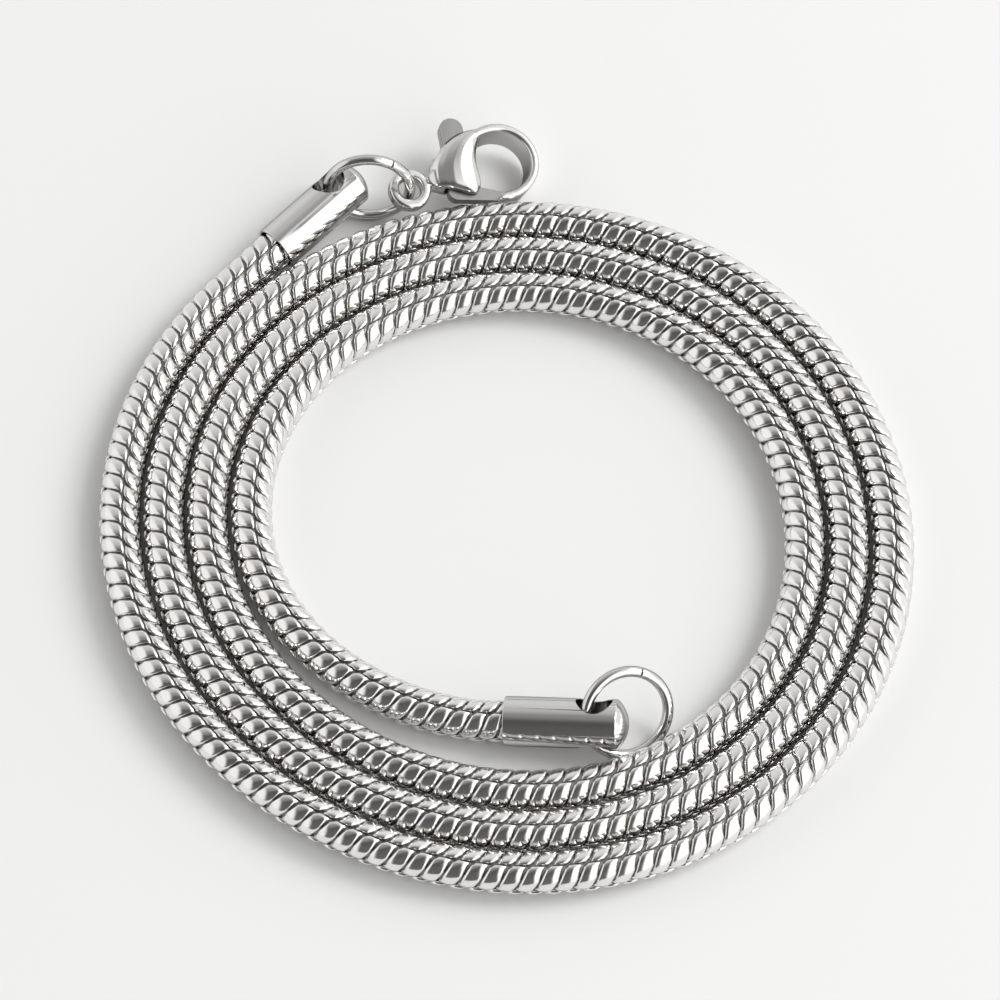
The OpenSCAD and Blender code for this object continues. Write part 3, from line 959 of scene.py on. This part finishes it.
@dataclass
class SkyNodes:
    """The world's node tree, with short ways to add to it.

    Attributes:
        tree: The node tree.
    """

    tree: bpy.types.NodeTree

    def step(self, operation: str, *values: Socket | float) -> Socket:
        """Adds one sum.

        Args:
            operation: Name of the sum.
            values: Its inputs in order.

        Returns:
            The socket with the result.
        """
        made = self.tree.nodes.new("ShaderNodeMath")
        made.operation = operation
        for k, value in enumerate(values):
            if isinstance(value, float):
                made.inputs[k].default_value = value
            else:
                self.tree.links.new(value, made.inputs[k])
        return made.outputs["Value"]

    def ease(self, value: Socket, edge: Pair, ends: Pair = (0.0, 1.0)) -> Socket:
        """Adds a soft passage between two ends while a value goes from one edge to the other.

        Args:
            value: The value.
            edge: Values where the passage starts and stops.
            ends: Results there.

        Returns:
            The socket with the result.
        """
        made = self.tree.nodes.new("ShaderNodeMapRange")
        made.interpolation_type = "SMOOTHSTEP"
        for name, number in zip(("From Min", "From Max", "To Min", "To Max"), (*edge, *ends)):
            made.inputs[name].default_value = number
        self.tree.links.new(value, made.inputs["Value"])
        return made.outputs["Result"]

    def cover(self, below: Socket, light: Socket | float, share: Socket) -> Socket:
        """Lays a light over what is below it.

        Args:
            below: Colour below.
            light: Grey of the light.
            share: How much the light covers, from 0 to 1.

        Returns:
            The socket with the result.
        """
        made = self.tree.nodes.new("ShaderNodeMix")
        made.data_type = "RGBA"
        self.tree.links.new(share, made.inputs["Factor"])
        self.tree.links.new(below, made.inputs["A"])
        if isinstance(light, float):
            made.inputs["B"].default_value = (light, light, light, 1.0)
        else:
            self.tree.links.new(light, made.inputs["B"])
        return made.outputs["Result"]


@dataclass
class Studio:
    """Pale floor, soft light and the camera at the photograph's angle.

    Attributes:
        target: Point that the camera looks at, in millimetres in the part's frame.
        stand: Place of the camera, in millimetres in the part's frame.
        focal: Focal length, in millimetres.
        sensor: Width of the sensor, in millimetres.
        clip: Nearest and farthest distance that the camera sees, in metres.
        floor: Finish of the floor.
        floor_half: Half the floor's side, in metres.
        floor_gap: How far the floor lies below the necklace, in metres.
        band_at: Places of the band's inner colours, from 0 in front to 1 behind.
        band: Colours of the band from the front horizon over the top to the horizon behind.
        screen_edge: Value of x where the right screen starts and where it is full.
        screen: Brightness of the right screen in front and behind.
        screen_fade: Values of y between which it goes from the one to the other.
        far_edge: Value of x where the low left screen starts and where it is full.
        far_screen: Brightness of the low left screen.
        box: The softbox.
    """

    target: Triple = (-0.449, 0.401, 0.0)
    stand: Triple = (-0.449, -177.509, 303.88)
    focal: float = 167.2
    sensor: float = 36.0
    clip: Pair = (0.01, 20.0)
    floor: PaleFloor = PaleFloor()
    floor_half: float = 1.2
    floor_gap: float = 0.00002
    band_at: tuple[float, ...] = (0.25, 0.5, 0.75)
    band: tuple[Colour, ...] = (
        (0.13, 0.128, 0.125),
        (0.10, 0.098, 0.095),
        (0.30, 0.296, 0.29),
        (0.58, 0.575, 0.57),
        (0.80, 0.80, 0.80),
    )
    screen_edge: Pair = (0.14, 0.36)
    screen: Pair = (1.6, 0.95)
    screen_fade: Pair = (-0.35, 0.1)
    far_edge: Pair = (-0.62, -0.8)
    far_screen: float = 1.0
    box: Softbox = field(default_factory=lambda: Softbox("softbox_right", (0.6, 0.15, 0.6), 0.4, 3.5))

    def set_camera(self) -> None:
        """Sets the camera: it stands before and above the necklace and looks down at it."""
        data = bpy.data.cameras.new("camera")
        data.lens = self.focal
        data.sensor_width = self.sensor
        data.clip_start, data.clip_end = self.clip
        thing = bpy.data.objects.new("camera", data)
        bpy.context.scene.collection.objects.link(thing)
        stand, target = Vector(self.stand) * MM, Vector(self.target) * MM
        thing.location = stand
        thing.rotation_mode = "QUATERNION"
        thing.rotation_quaternion = (target - stand).to_track_quat("-Z", "Y")
        bpy.context.scene.camera = thing

    def lay_floor(self) -> None:
        """Lays the pale floor a hair below the necklace."""
        half = self.floor_half
        corners = np.array([[-half, -half, 0], [half, -half, 0], [half, half, 0], [-half, half, 0]])
        corners[:, 2] = CAD_BOX[0][2] - self.floor_gap
        thing = put_mesh("floor", corners, [np.array([[0, 1, 2, 3]])], smooth=False)
        self.floor.dress(thing)

    def raise_sky(self) -> None:
        """Surrounds the scene with a soft studio.

        A white screen stands on the right and a low one far left, and between them a band goes from light
        grey behind over grey above to dark in front. The band's grey reads a ramp at half of one plus y
        over the length of (y, z), and a screen takes over where x passes its edge.
        """
        world = bpy.data.worlds.new("studio")
        bpy.context.scene.world = world
        world.use_nodes = True
        nodes, links = world.node_tree.nodes, world.node_tree.links
        sky = SkyNodes(world.node_tree)
        place = nodes.new("ShaderNodeTexCoord")
        split = nodes.new("ShaderNodeSeparateXYZ")
        links.new(place.outputs["Generated"], split.inputs["Vector"])
        x, y, z = split.outputs
        squares = sky.step("ADD", sky.step("MULTIPLY", y, y), sky.step("MULTIPLY", z, z))
        tilt = sky.step("MULTIPLY_ADD", sky.step("DIVIDE", y, sky.step("SQRT", squares)), 0.5, 0.5)
        band = nodes.new("ShaderNodeValToRGB")
        band.color_ramp.interpolation = "EASE"
        stops = band.color_ramp.elements
        stops[0].position, stops[0].color = 0.0, (*self.band[0], 1.0)
        stops[1].position, stops[1].color = 1.0, (*self.band[-1], 1.0)
        for stop_at, colour in zip(self.band_at, self.band[1:-1]):
            stops.new(stop_at).color = (*colour, 1.0)
        links.new(tilt, band.inputs["Fac"])
        screen = sky.ease(y, self.screen_fade, self.screen)
        right = sky.cover(band.outputs["Color"], screen, sky.ease(x, self.screen_edge))
        both = sky.cover(right, self.far_screen, sky.ease(x, self.far_edge))
        links.new(both, nodes["Background"].inputs["Color"])

    def build(self) -> None:
        """Sets up the camera, the floor and the lights."""
        self.set_camera()
        self.lay_floor()
        self.raise_sky()
        self.box.hang()
        bpy.context.scene.view_settings.view_transform = "Standard"


def main() -> None:
    """Builds the studio, the chain and the fittings in order."""
    Studio().build()
    LOG.info("studio: camera, floor, sky and softbox")
    for piece in SnakeChain().build():
        LOG.info("chain: %s, %d faces", piece.name, len(piece.data.polygons))
    for piece in Fittings().build():
        LOG.info("fittings: %s, %d faces", piece.name, len(piece.data.polygons))


if __name__ == "__main__":
    main()
